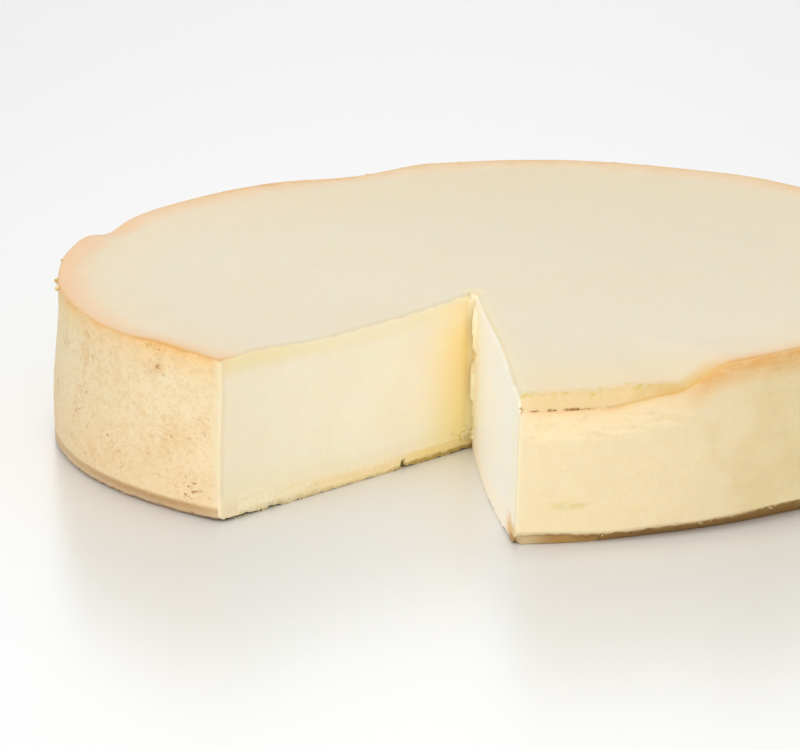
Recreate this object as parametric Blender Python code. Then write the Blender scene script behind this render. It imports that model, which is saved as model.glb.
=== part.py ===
"""A tall baked cheesecake on a thin sponge base, with one slice cut out of it.

Metres, +Z up. The origin is the middle of the cake on the surface it stands on. The front of
the cake is towards -Y, and a bearing is an angle round the cake, measured from the front
towards +X. Both pieces are turned shapes whose outline changes with the bearing, and one
wedge-shaped cutter takes the slice out of both.
"""

from math import cos, exp, pi, radians, sin

import bmesh
import bpy

MM = 0.001

# The whole cake
RIM_RADIUS = 127.0 * MM
RIM_HEIGHT = 46.4 * MM
TOP_HEIGHT = 44.0 * MM  # the flat of the top, a little below the rim
TOP_RISE = 1.1 * MM  # how far the middle of the top swells again
BEARINGS = 144  # steps round the cake

# The side: it bellies out low down, more on the left and right than in front and behind
BELLY = 1.6 * MM
BELLY_EXTRA = 1.0 * MM
BELLY_HEIGHT = 12.0 * MM
BELLY_TOP = 40.0 * MM  # where it has gone in to the rim's radius
FOOT_HEIGHT = 1.0 * MM  # the underside of the browned skin, lifted off the plate
FOOT_ROUNDING = 1.2 * MM
# Where the foot curls up further and in, or sits lower: (bearing in degrees, rise, spread)
FOOT_CURLS = (
    (36, 2.2 * MM, 9),
    (20, 1.1 * MM, 10),
    (2, 1.3 * MM, 7),
    (-75, -0.7 * MM, 45),
)
FOOT_CURL_IN = 0.4  # how far a curl goes in, as a share of how far it goes up
FOOT_TURNS = (0, 30, 60, 90)  # degrees round the foot's rounding
SIDE_HEIGHTS = (9 * MM, BELLY_HEIGHT, 17 * MM, 22 * MM, 28 * MM, 35 * MM)

# The rim rises and dips as it baked: (bearing in degrees, rise, spread in degrees, share of
# the radius from which the top follows it)
RIM_WAVES = (
    (-160, -1.6 * MM, 9, 0.86),
    (-115.3, -1.7 * MM, 4.2, 0.90),
    (-106, 1.3 * MM, 5, 0.90),
    (-97.5, 1.2 * MM, 5.5, 0.90),
    (-62, -0.5 * MM, 8, 0.86),
    (-49, 0.5 * MM, 3.5, 0.90),
    (-39, -0.6 * MM, 3, 0.90),
    (-169, 0.6 * MM, 4.5, 0.90),
    (180, 0.4 * MM, 45, 0.80),
    (172, 1.1 * MM, 22, 0.70),
    (143, 0.5 * MM, 7, 0.86),
    (40, 0.4 * MM, 8, 0.86),
    (85, -0.6 * MM, 14, 0.80),
)
RIM_RISE_FROM = 0.62  # share of the radius where the top starts to climb to its rim
RIM_SHARE = 0.97  # and where it gets there
RISE_FADE = (0.15, 0.45)  # shares of the radius over which the swelling dies away
RIM_EDGE = ((0.0, 4.0 * MM), (0.0, 1.2 * MM), (0.5 * MM, 0.4 * MM))  # (in, down) from the edge
TOP_SHARES = (0.986, 0.972, 0.945, 0.90, 0.83, 0.74, 0.62, 0.45, 0.28, 0.15, 0.0)

# Beside the slice the rim has slumped: its edge is low, with a sloping shoulder above it
SLUMP_DEPTH = 8.9 * MM
SLUMP_START = (radians(-30), radians(-5))
SLUMP_FULL = radians(11)  # the edge is lowest up to this bearing
SLUMP_STEP = radians(19.5)  # from here it climbs back steeply
SLUMP_END = radians(28.5)
SLUMP_GENTLE = 0.25  # share of the depth that it climbs before the steep part
SLUMP_FROM = 0.55  # share of the radius where the top starts to fall away
SHOULDER = 3.7 * MM
SHOULDER_FADE = (0.58, 0.95)  # shares of the slump over which the shoulder grows

# The slice
CUT_TIP = (-9.8 * MM, -26.5 * MM)
LEFT_CUT = radians(-43.3)  # bearing of each cut, seen from the tip
RIGHT_CUT = radians(6.4)
CUT_LENGTH = 101.0 * MM
TIP_SLIDE = (-0.6 * MM, 1.9 * MM)  # the tip leans along the left cut: at the foot, at the top
RIGHT_BOW_TOP = 1.2 * MM  # the right cut leans: back at the top, out at the bottom
RIGHT_BOW_FOOT = -2.5 * MM
RIGHT_BOW_TURN = radians(135)  # the bow is a sine over this angle, from the tip to the outside
CUT_STEPS = 12
CUTTER_REACH = 45.0 * MM  # how far the cutter sticks out past the cake

# The sponge base lies in a shallow pocket under the cheese
BASE_RADIUS = 122.0 * MM
BASE_THIN = 4.0 * MM
BASE_THICK = 7.2 * MM
BASE_FLAT = 102.0 * MM  # it stands on this much, and lifts a little outside it
BASE_LIFT = 0.8 * MM
BASE_RISE = (70 * MM, 113 * MM)  # radii between which it thickens
BASE_RADII = (0.0, 70 * MM, 85 * MM, 99 * MM, 113 * MM)
BASE_FOOT = 112 * MM  # a radius on the lifting part of its underside
GAP = 0.3 * MM

CHEESE_COLOUR = (0.88, 0.76, 0.52)
CHEESE_ROUGHNESS = 0.55
SPONGE_COLOUR = (0.80, 0.61, 0.32)
SPONGE_ROUGHNESS = 0.85
SHARP_ANGLE = radians(35)  # steeper edges than this stay sharp


def ease(low, high, value):
    """0 below low, 1 above high, smooth in between."""
    share = min(max((value - low) / (high - low), 0.0), 1.0)
    return share * share * (3.0 - 2.0 * share)


def turned_from(bearing, degrees):
    """The angle between a bearing and one in degrees, the short way round, in degrees."""
    return (bearing * 180.0 / pi - degrees + 180.0) % 360.0 - 180.0


def wave(bearing, middle, rise, spread):
    """A smooth rise round one bearing."""
    return rise * exp(-((turned_from(bearing, middle) / spread) ** 2))


def slump(bearing):
    """How much of the slump beside the slice there is at a bearing, from 0 to 1."""
    gentle = 1.0 - SLUMP_GENTLE * ease(SLUMP_FULL, SLUMP_STEP, bearing)
    steep = (1.0 - SLUMP_GENTLE) * (1.0 - ease(SLUMP_STEP, SLUMP_END, bearing))
    return min(gentle, steep if bearing > SLUMP_STEP else 1.0) * ease(*SLUMP_START, bearing)


def rim_height(bearing):
    """The height of the browned edge at a bearing."""
    waves = sum(wave(bearing, middle, rise, spread) for middle, rise, spread, _ in RIM_WAVES)
    return RIM_HEIGHT + waves - SLUMP_DEPTH * slump(bearing)


def top_height(radius, bearing):
    """The height of the top inside its rim: dished, swelling in the middle."""
    share = radius / RIM_RADIUS
    sunk = slump(bearing)
    height = TOP_HEIGHT + TOP_RISE * (1.0 - ease(*RISE_FADE, share))
    height += (RIM_HEIGHT - height) * ease(RIM_RISE_FROM, RIM_SHARE, share)
    for middle, rise, spread, reach in RIM_WAVES:
        height += wave(bearing, middle, rise, spread) * ease(reach, RIM_SHARE, share)
    shoulder = SHOULDER * ease(*SHOULDER_FADE, sunk)
    return height - (SLUMP_DEPTH * sunk - shoulder) * ease(SLUMP_FROM, RIM_SHARE, share)


def belly(bearing, height):
    """How far the side stands out beyond the rim."""
    fullest = BELLY + BELLY_EXTRA * (sin(bearing) ** 2 - cos(bearing) ** 2) / 2.0
    return fullest * (1.0 - ease(BELLY_HEIGHT, BELLY_TOP, height))


def base_top(radius):
    """The sponge is thin in the middle and thicker towards its edge."""
    return BASE_THIN + (BASE_THICK - BASE_THIN) * ease(*BASE_RISE, radius)


def base_under(radius):
    """The sponge lies flat, and its edge lifts a little."""
    return BASE_LIFT * ease(BASE_FLAT, BASE_RADIUS, radius)


def cheese_profile(bearing):
    """Radius and height from the middle of the underside, round the side, to the top."""
    edge = rim_height(bearing)
    curl = sum(wave(bearing, middle, rise, spread) for middle, rise, spread in FOOT_CURLS)
    pocket = BASE_RADIUS + GAP
    points = [(radius, base_top(radius) + GAP) for radius in BASE_RADII]
    points += [(pocket, base_top(pocket) + GAP), (pocket, FOOT_HEIGHT + curl)]

    foot = RIM_RADIUS + belly(bearing, FOOT_ROUNDING) - FOOT_ROUNDING
    foot -= max(curl, 0.0) * FOOT_CURL_IN
    for turn in FOOT_TURNS:
        out = FOOT_ROUNDING * sin(radians(turn))
        up = FOOT_ROUNDING * (1.0 - cos(radians(turn)))
        points.append((foot + out, FOOT_HEIGHT + curl + up))

    for height in SIDE_HEIGHTS:
        height *= min(edge / RIM_HEIGHT, 1.0)
        points.append((RIM_RADIUS + belly(bearing, height), height))
    points += [(RIM_RADIUS - inward, edge - down) for inward, down in RIM_EDGE]
    for share in TOP_SHARES:
        radius = share * RIM_RADIUS
        points.append((radius, top_height(radius, bearing)))
    return points


def sponge_profile(_bearing):
    """Radius and height from the middle of the underside, round the edge, to the top."""
    under = [(radius, base_under(radius)) for radius in (0.0, BASE_FLAT, BASE_FOOT, BASE_RADIUS)]
    over = [(radius, base_top(radius)) for radius in (*BASE_RADII, BASE_RADIUS)]
    return under + over[::-1]


def turn_solid(name, profile):
    """A closed solid: the profile at every bearing, joined ring to ring."""
    solid = bmesh.new()
    turns = [2.0 * pi * step / BEARINGS for step in range(BEARINGS)]
    sections = [profile(bearing if bearing < pi else bearing - 2.0 * pi) for bearing in turns]
    rings = []
    for place in range(1, len(sections[0]) - 1):
        ring = []
        for bearing, section in zip(turns, sections):
            radius, height = section[place]
            ring.append(solid.verts.new((radius * sin(bearing), -radius * cos(bearing), height)))
        rings.append(ring)

    for lower, upper in zip(rings, rings[1:]):
        for step in range(BEARINGS):
            after = (step + 1) % BEARINGS
            solid.faces.new((lower[step], lower[after], upper[after], upper[step]))
    under = solid.verts.new((0.0, 0.0, sections[0][0][1]))
    over = solid.verts.new((0.0, 0.0, sections[0][-1][1]))
    for step in range(BEARINGS):
        after = (step + 1) % BEARINGS
        solid.faces.new((under, rings[0][after], rings[0][step]))
        solid.faces.new((over, rings[-1][step], rings[-1][after]))
    return finish_mesh(name, solid)


def finish_mesh(name, solid):
    """Turn a bmesh into a linked object with outward faces, all triangles."""
    bmesh.ops.triangulate(solid, faces=solid.faces[:])
    bmesh.ops.recalc_face_normals(solid, faces=solid.faces[:])
    mesh = bpy.data.meshes.new(name)
    solid.to_mesh(mesh)
    solid.free()
    mesh.shade_smooth()
    mesh.set_sharp_from_angle(angle=SHARP_ANGLE)
    piece = bpy.data.objects.new(name, mesh)
    bpy.context.collection.objects.link(piece)
    return piece


def along_cut(bearing, distance, aside=0.0, back=0.0):
    """A point on a cut: so far from the tip, to the side of the straight line, and back."""
    x = CUT_TIP[0] + distance * sin(bearing) + aside * cos(bearing) - back * sin(LEFT_CUT)
    y = CUT_TIP[1] - distance * cos(bearing) + aside * sin(bearing) + back * cos(LEFT_CUT)
    return x, y


def slice_outline(up):
    """The slice seen from above, at a share of the cake's height."""
    bow = RIGHT_BOW_FOOT + (RIGHT_BOW_TOP - RIGHT_BOW_FOOT) * up
    slide = TIP_SLIDE[0] + (TIP_SLIDE[1] - TIP_SLIDE[0]) * up
    outline = [along_cut(LEFT_CUT, 0.0, back=slide)]
    for step in range(1, CUT_STEPS + 1):
        share = step / CUT_STEPS
        aside = bow * sin(RIGHT_BOW_TURN * share)
        outline.append(along_cut(RIGHT_CUT, share * CUT_LENGTH, aside, slide * (1.0 - share)))
    outline.append(along_cut(RIGHT_CUT, CUT_LENGTH + CUTTER_REACH, aside))
    outline.append(along_cut(LEFT_CUT, CUT_LENGTH + CUTTER_REACH))
    return outline


def slice_cutter():
    """The wedge that takes the slice out of both pieces."""
    solid = bmesh.new()
    floors = ((-CUTTER_REACH, 0.0), (0.0, 0.0), (RIM_HEIGHT, 1.0), (RIM_HEIGHT + CUTTER_REACH, 1.0))
    rings = []
    for height, up in floors:
        rings.append([solid.verts.new((x, y, height)) for x, y in slice_outline(up)])
    for lower, upper in zip(rings, rings[1:]):
        for step in range(len(lower)):
            after = (step + 1) % len(lower)
            solid.faces.new((lower[step], lower[after], upper[after], upper[step]))
    solid.faces.new(rings[0])
    solid.faces.new(rings[-1])
    cutter = finish_mesh("slice_cutter", solid)
    cutter.hide_render = True
    cutter.display_type = "WIRE"
    return cutter


def cut_slice(piece, cutter):
    """Take the slice out of a piece."""
    cut = piece.modifiers.new("slice", "BOOLEAN")
    cut.operation = "DIFFERENCE"
    cut.solver = "EXACT"
    cut.object = cutter


def food_material(name, colour, roughness):
    """A plain matt food colour."""
    material = bpy.data.materials.new(name)
    material.use_nodes = True
    shader = material.node_tree.nodes["Principled BSDF"]
    shader.inputs["Base Color"].default_value = (*colour, 1.0)
    shader.inputs["Roughness"].default_value = roughness
    shader.inputs["Metallic"].default_value = 0.0
    return material


def clear_scene():
    """Start from an empty scene."""
    for thing in list(bpy.data.objects):
        bpy.data.objects.remove(thing, do_unlink=True)


def main():
    """Build the cheese and its base, then cut the slice."""
    clear_scene()
    cheese = turn_solid("cheese_filling", cheese_profile)
    cheese.data.materials.append(food_material("cheese", CHEESE_COLOUR, CHEESE_ROUGHNESS))
    sponge = turn_solid("sponge_base", sponge_profile)
    sponge.data.materials.append(food_material("sponge", SPONGE_COLOUR, SPONGE_ROUGHNESS))
    cutter = slice_cutter()
    for piece in (cheese, sponge):
        cut_slice(piece, cutter)


main()
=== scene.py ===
"""A New York cheesecake with one slice cut out: baked skin, cut faces, sponge and crumbs.

Metres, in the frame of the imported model: +Z up, the front of the cake towards -Y. A bearing is
an angle round the cake, measured from the front towards +X. The shape functions come first,
then the mesh of each piece, the crumbs, the materials, and the studio.
"""

from math import cos, pi, radians, sin, sqrt

import bmesh
import bpy
import numpy as np
from mathutils import Matrix, Vector, geometry, kdtree


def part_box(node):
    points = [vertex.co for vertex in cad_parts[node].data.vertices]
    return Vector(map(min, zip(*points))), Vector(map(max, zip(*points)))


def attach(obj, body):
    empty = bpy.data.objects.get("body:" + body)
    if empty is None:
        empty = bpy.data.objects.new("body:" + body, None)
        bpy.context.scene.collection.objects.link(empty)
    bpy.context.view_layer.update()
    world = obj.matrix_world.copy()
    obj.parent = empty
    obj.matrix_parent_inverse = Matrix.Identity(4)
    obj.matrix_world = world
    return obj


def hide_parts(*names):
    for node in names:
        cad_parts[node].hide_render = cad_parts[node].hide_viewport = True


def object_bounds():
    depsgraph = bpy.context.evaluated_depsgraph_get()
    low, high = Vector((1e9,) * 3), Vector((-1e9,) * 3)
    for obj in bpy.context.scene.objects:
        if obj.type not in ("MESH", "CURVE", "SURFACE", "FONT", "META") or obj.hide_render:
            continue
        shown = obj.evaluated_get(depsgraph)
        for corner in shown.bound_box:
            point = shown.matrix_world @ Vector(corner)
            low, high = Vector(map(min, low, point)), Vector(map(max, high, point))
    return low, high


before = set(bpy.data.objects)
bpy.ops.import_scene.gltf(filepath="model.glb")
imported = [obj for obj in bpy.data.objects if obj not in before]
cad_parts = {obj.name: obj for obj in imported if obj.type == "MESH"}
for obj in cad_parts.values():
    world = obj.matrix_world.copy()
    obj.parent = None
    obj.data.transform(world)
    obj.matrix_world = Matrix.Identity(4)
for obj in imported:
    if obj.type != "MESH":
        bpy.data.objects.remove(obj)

CAD_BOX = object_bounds()
MM = 0.001

_, CHEESE_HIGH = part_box("cheese_filling")
_, SPONGE_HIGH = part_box("sponge_base")

# The side: it bellies out low down, more on the left and right than in front and behind
BELLY = 1.6 * MM
BELLY_EXTRA = 1.0 * MM
BELLY_HEIGHT = 12.0 * MM
BELLY_TOP = 40.0 * MM
RIM_RADIUS = CHEESE_HIGH.x - BELLY - BELLY_EXTRA / 2.0
FOOT_HEIGHT = 1.0 * MM
FOOT_ROUNDING = 1.2 * MM
# Where the foot curls up further and in, or sits lower: (bearing in degrees, rise, spread)
FOOT_CURLS = (
    (36, 2.2 * MM, 9),
    (20, 1.1 * MM, 10),
    (2, 1.3 * MM, 7),
    (-75, -0.7 * MM, 45),
)
FOOT_CURL_IN = 0.4  # how far a curl goes in, as a share of how far it goes up

# The top
RIM_HEIGHT = 46.4 * MM
TOP_HEIGHT = 44.0 * MM
TOP_RISE = 1.1 * MM
TOP_RISE_WITHIN = (0.15, 0.45)  # shares of the radius over which that swelling ends
RIM_RISE_FROM = 0.62
RIM_SHARE = 0.97
# (bearing in degrees, rise, spread in degrees, share of the radius where the top follows it)
RIM_WAVES = (
    (-160, -1.6 * MM, 9, 0.86),
    (-115.3, -1.7 * MM, 4.2, 0.90),
    (-106, 1.3 * MM, 5, 0.90),
    (-97.5, 1.2 * MM, 5.5, 0.90),
    (-62, -0.5 * MM, 8, 0.86),
    (-49, 0.5 * MM, 3.5, 0.90),
    (-39, -0.6 * MM, 3, 0.90),
    (-169, 0.6 * MM, 4.5, 0.90),
    (180, 0.4 * MM, 45, 0.80),
    (172, 1.1 * MM, 22, 0.70),
    (143, 0.5 * MM, 7, 0.86),
    (40, 0.4 * MM, 8, 0.86),
    (85, -0.6 * MM, 14, 0.80),
)

# Beside the slice the rim has slumped: its edge is low, with a sloping shoulder above it
SLUMP_DEPTH = 8.9 * MM
SLUMP_START = (radians(-30), radians(-5))
SLUMP_FULL = radians(11)
SLUMP_STEP = radians(19.5)
SLUMP_END = radians(28.5)
SLUMP_GENTLE = 0.25
SLUMP_FROM = 0.55
SHOULDER = 3.7 * MM
SHOULDER_FADE = (0.58, 0.95)
SHOULDER_EDGE = (0.970, 0.998)  # shares of the radius between which the shoulder drops away

# The slice
CUT_TIP = (-9.8 * MM, -26.5 * MM)
LEFT_CUT = radians(-43.3)
RIGHT_CUT = radians(6.4)
CUT_LENGTH = 101.0 * MM
TIP_SLIDE = (-0.6 * MM, 1.9 * MM)  # the tip leans along the left cut: at the foot, at the top
RIGHT_BOW_TOP = 1.2 * MM
RIGHT_BOW_FOOT = -2.5 * MM
RIGHT_BOW_TURN = radians(135)  # the bow is a sine over this angle, from the tip to the outside

# The sponge base and the pocket that it lies in
BASE_RADIUS = SPONGE_HIGH.x
BASE_THIN = 4.0 * MM
BASE_THICK = SPONGE_HIGH.z
BASE_THICKENS = (70.0 * MM, 113.0 * MM)  # radii over which it goes from thin to thick
BASE_FLAT = 102.0 * MM
BASE_LIFT = 0.8 * MM
PRESSED = 0.15 * MM  # how far the sponge is pressed into the cheese round it
SEAM_STEP = 0.03 * MM  # and how far back its cut faces lie

# How far the edges of the top are rounded
RIM_ROUND = 1.0 * MM
LEFT_ROUND = 1.8 * MM
RIGHT_ROUND = 2.0 * MM
RIGHT_ROUND_FROM = 18.0 * MM  # from the tip, where the right edge is as round as it gets

# Inside its edge the foot's underside comes down almost to the surface below: soon on the left,
# further in on the right, and less at the left corner, which has lifted
LIP_HEIGHT = 0.1 * MM
LIP_INSET = 0.3 * MM
LIP_INSET_RIGHT = 2.6 * MM
LIP_BEARINGS = (radians(5), radians(20))  # between these it goes from one to the other
LIFTED_BEARING = -38
LIFTED_SPREAD = 5

# A pit in the sponge under the left cut, so far from the tip, laid dark with painted shade
PIT_FROM = 27.6 * MM
PIT_TO = 29.0 * MM
PIT_FADE = 0.4 * MM
PIT_DEPTH = 0.9 * MM

CORNER_ZONE = 4.5 * MM  # in the cut faces, where columns lean with the side's outline
CORNER_SOFT = (0.4 * MM, 1.8 * MM)  # from a corner, where rounding it begins to fade and ends
CORNER_PULL = 0.6
CORNER_ROUNDS = 3

# How far apart a mesh's columns are: fine where the cake is seen most, coarse round the back
FINE = 0.6 * MM
COARSE = 2.0 * MM
CHEESE_BACK = (radians(75), radians(240))
SPONGE_BACK = (radians(8), radians(314))

# How far apart its rows are, from each height or inset on: (from, step)
CHEESE_ROWS = ((0.0, 0.25 * MM), (1.0 * MM, 0.5 * MM), (3.5 * MM, 0.85 * MM), (RIM_HEIGHT, 0.0))
SPONGE_ROWS = 13
TOP_INSETS = (0.1, 0.33, 0.7, 1.2, 1.8, 2.5, 3.4, 4.6, 6.2, 8.5)  # in millimetres
SPONGE_INSETS = ((0.6, 0.6), (1.4, 0.9), (3.0, 1.8), (6.0, 3.6))  # (inset, step) in millimetres

OUTER, LEFT, RIGHT = 0, 1, 2


# ---------------------------------------------------------------- the shape


def ease(low, high, value):
    """0 below low, 1 above high, smooth in between."""
    share = np.clip((value - low) / (high - low), 0.0, 1.0)
    return share * share * (3.0 - 2.0 * share)


def bearing_of(x, y):
    """The bearing of a point seen from the middle of the cake."""
    return np.arctan2(x, -y)


def wave(bearing, middle, rise, spread):
    """A smooth rise round one bearing."""
    away = (np.degrees(bearing) - middle + 180.0) % 360.0 - 180.0
    return rise * np.exp(-((away / spread) ** 2))


def slump(bearing):
    """How much of the slump beside the slice there is at a bearing, from 0 to 1."""
    bearing = (bearing + pi) % (2.0 * pi) - pi
    gentle = 1.0 - SLUMP_GENTLE * ease(SLUMP_FULL, SLUMP_STEP, bearing)
    steep = (1.0 - SLUMP_GENTLE) * (1.0 - ease(SLUMP_STEP, SLUMP_END, bearing))
    low = np.where(bearing > SLUMP_STEP, np.minimum(gentle, steep), gentle)
    return low * ease(*SLUMP_START, bearing)


def rim_height(bearing):
    """The height of the browned edge at a bearing."""
    waves = sum(wave(bearing, middle, rise, spread) for middle, rise, spread, _ in RIM_WAVES)
    return RIM_HEIGHT + waves - SLUMP_DEPTH * slump(bearing)


def top_height(x, y):
    """The height of the top: dished, swelling in the middle, slumped beside the slice."""
    bearing = bearing_of(x, y)
    share = np.hypot(x, y) / RIM_RADIUS
    sunk = slump(bearing)
    height = TOP_HEIGHT + TOP_RISE * (1.0 - ease(*TOP_RISE_WITHIN, share))
    height = height + (RIM_HEIGHT - height) * ease(RIM_RISE_FROM, RIM_SHARE, share)
    for middle, rise, spread, reach in RIM_WAVES:
        height = height + wave(bearing, middle, rise, spread) * ease(reach, RIM_SHARE, share)
    shoulder = SHOULDER * ease(*SHOULDER_FADE, sunk) * (1.0 - ease(*SHOULDER_EDGE, share))
    return height - (SLUMP_DEPTH * sunk - shoulder) * ease(SLUMP_FROM, RIM_SHARE, share)


def foot_height(bearing):
    """The height of the skin's underside, which curls up here and there."""
    return FOOT_HEIGHT + sum(wave(bearing, middle, rise, spread) for middle, rise, spread in FOOT_CURLS)


def lip_inset(bearing):
    """How far in from the side the foot's underside has come down."""
    return LIP_INSET + (LIP_INSET_RIGHT - LIP_INSET) * ease(*LIP_BEARINGS, bearing)


def lip_height(bearing):
    """The height of the foot's underside further in than that."""
    lifted = wave(bearing, LIFTED_BEARING, 1.0, LIFTED_SPREAD)
    return LIP_HEIGHT + (foot_height(bearing) - LIP_HEIGHT) * lifted


def side_radius(bearing, height):
    """The radius of the side at a height: a belly low down, and a rounded foot."""
    fullest = BELLY + BELLY_EXTRA * (np.sin(bearing) ** 2 - np.cos(bearing) ** 2) / 2.0
    belly = fullest * ease(-BELLY_TOP, -BELLY_HEIGHT, -height)
    curl = foot_height(bearing) - FOOT_HEIGHT
    short = np.clip(FOOT_ROUNDING - (height - FOOT_HEIGHT - curl), 0.0, FOOT_ROUNDING)
    tucked = FOOT_ROUNDING - np.sqrt(np.maximum(FOOT_ROUNDING**2 - short**2, 0.0))
    return RIM_RADIUS + belly - tucked - np.maximum(curl, 0.0) * FOOT_CURL_IN * (short > 0.0)


def base_top(radius):
    """The top of the sponge: thin in the middle and thicker towards its edge."""
    return BASE_THIN + (BASE_THICK - BASE_THIN) * ease(*BASE_THICKENS, radius)


def base_under(radius):
    """The underside of the sponge: flat, with its edge lifted a little."""
    return BASE_LIFT * ease(BASE_FLAT, BASE_RADIUS, radius)


def right_bow(along, height):
    """How far the right cut leaves its straight line: back at the top, out at the bottom."""
    up = np.clip(height / RIM_HEIGHT, 0.0, 1.0)
    bow = RIGHT_BOW_FOOT + (RIGHT_BOW_TOP - RIGHT_BOW_FOOT) * up
    return bow * np.sin(RIGHT_BOW_TURN * np.clip(along / CUT_LENGTH, 0.0, 1.0))


def tip_slide(height):
    """How far back along the left cut the tip is at a height."""
    return TIP_SLIDE[0] + (TIP_SLIDE[1] - TIP_SLIDE[0]) * np.clip(height / RIM_HEIGHT, 0.0, 1.0)


def cut_point(cut, along, height):
    """A point on a cut, so far from the tip."""
    bearing = LEFT_CUT if cut == LEFT else RIGHT_CUT
    aside = 0.0 if cut == LEFT else right_bow(along, height)
    back = tip_slide(height) * (1.0 - np.clip(along / CUT_LENGTH, 0.0, 1.0))
    x = CUT_TIP[0] + along * sin(bearing) + aside * cos(bearing) - back * sin(LEFT_CUT)
    y = CUT_TIP[1] - along * cos(bearing) + aside * sin(bearing) + back * cos(LEFT_CUT)
    return x, y


def tip_distance(x, y, height):
    """How far a point is from where the two cuts meet."""
    tip_x, tip_y = cut_point(LEFT, 0.0, height)
    return np.hypot(x - tip_x, y - tip_y)


def cut_reach(cut, height, radius_at):
    """How far a cut runs from the tip before it meets the outer surface."""
    reach = np.full(np.shape(height), CUT_LENGTH)
    for _ in range(12):
        x, y = cut_point(cut, reach, height)
        reach = reach + radius_at(bearing_of(x, y), height) - np.hypot(x, y)
    return reach


def cut_gaps(x, y, height):
    """How far inside the cake a point is from each cut face, the left one first."""
    gaps = []
    slide = tip_slide(height)
    for cut, bearing in ((LEFT, LEFT_CUT), (RIGHT, RIGHT_CUT)):
        ahead = (x - CUT_TIP[0]) * sin(bearing) - (y - CUT_TIP[1]) * cos(bearing)
        aside = (x - CUT_TIP[0]) * cos(bearing) + (y - CUT_TIP[1]) * sin(bearing)
        back = slide * (1.0 - np.clip(ahead / CUT_LENGTH, 0.0, 1.0)) * sin(bearing - LEFT_CUT)
        inside = -aside if cut == LEFT else aside - right_bow(ahead, height) - back
        beyond_tip = ahead < -slide * cos(bearing - LEFT_CUT)
        other_side = inside < -2.0 * MM
        far = tip_distance(x, y, height)
        gaps.append(np.where(beyond_tip | other_side, far, np.maximum(inside, 0.0)))
    return gaps


def fallen(gap, radius):
    """How far a rounded edge of the top has fallen, so far in from the edge."""
    short = np.clip(radius - gap, 0.0, radius)
    return radius - np.sqrt(radius**2 - short**2)


def rounded_top(x, y):
    """The height of the top with the edges of its rim and of the cuts rounded."""
    left, right = cut_gaps(x, y, RIM_HEIGHT)
    from_tip = tip_distance(x, y, RIM_HEIGHT)
    right_round = LEFT_ROUND + (RIGHT_ROUND - LEFT_ROUND) * ease(0.0, RIGHT_ROUND_FROM, from_tip)
    from_rim = fallen(RIM_RADIUS - np.hypot(x, y), RIM_ROUND)
    from_cuts = np.maximum(fallen(left, LEFT_ROUND), fallen(right, right_round))
    return top_height(x, y) - np.maximum(from_rim, from_cuts)


# ---------------------------------------------------------------- the meshes


def steps(*stops):
    """Places from stop to stop, from (start, step) pairs, up to the last one's start."""
    places = []
    for (start, step), (end, _) in zip(stops, stops[1:]):
        count = max(1, round((end - start) / step))
        places.append(np.linspace(start, end, count, endpoint=False))
    return np.append(np.concatenate(places), stops[-1][0])


class Outline:
    """The outline of a piece: columns round its outer side and along its two cut faces."""

    def __init__(self, radius_at, bearings, along):
        self.radius_at = radius_at
        middle = np.array([RIM_HEIGHT / 2.0])
        first = self.corner(RIGHT, middle)[0]
        last = self.corner(LEFT, middle)[0] + 2.0 * pi
        outer = steps((first, bearings[0][1]), *bearings, (last, 0.0))
        reach = float(cut_reach(RIGHT, middle, radius_at)[0])
        inner = steps(*along, (reach, 0.0)) / reach
        kinds = ((OUTER, len(outer)), (LEFT, len(inner) - 1), (RIGHT, len(inner) - 2))
        self.kind = np.concatenate([np.full(count, kind) for kind, count in kinds])
        outer = (outer - first) / (last - first)
        self.place = np.concatenate([outer, inner[-2::-1], inner[1:-1]])

    def corner(self, cut, height):
        """The bearing of the corner where a cut meets the outer side."""
        return bearing_of(*cut_point(cut, cut_reach(cut, height, self.radius_at), height))

    def at(self, height):
        """The outline's points, each at its own height."""
        first = self.corner(RIGHT, height)
        last = self.corner(LEFT, height) + 2.0 * pi
        bearing = first + self.place * (last - first)
        radius = self.radius_at(bearing, height)
        x, y = radius * np.sin(bearing), -radius * np.cos(bearing)
        for cut in (LEFT, RIGHT):
            straight = cut_reach(cut, np.full(len(height), RIM_HEIGHT / 2.0), self.radius_at)
            lean = cut_reach(cut, height, self.radius_at) - straight
            short = np.clip((1.0 - self.place) * straight / CORNER_ZONE, 0.0, 1.0)
            cut_x, cut_y = cut_point(cut, self.place * straight + lean * (1.0 - short), height)
            x = np.where(self.kind == cut, cut_x, x)
            y = np.where(self.kind == cut, cut_y, y)
        return np.column_stack([x, y, height])

    def wall(self, low, high, rises):
        """The wall's points, row by row from its lower edge to its upper one."""
        return [self.at(low + rise * (high - low)) for rise in rises]


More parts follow.
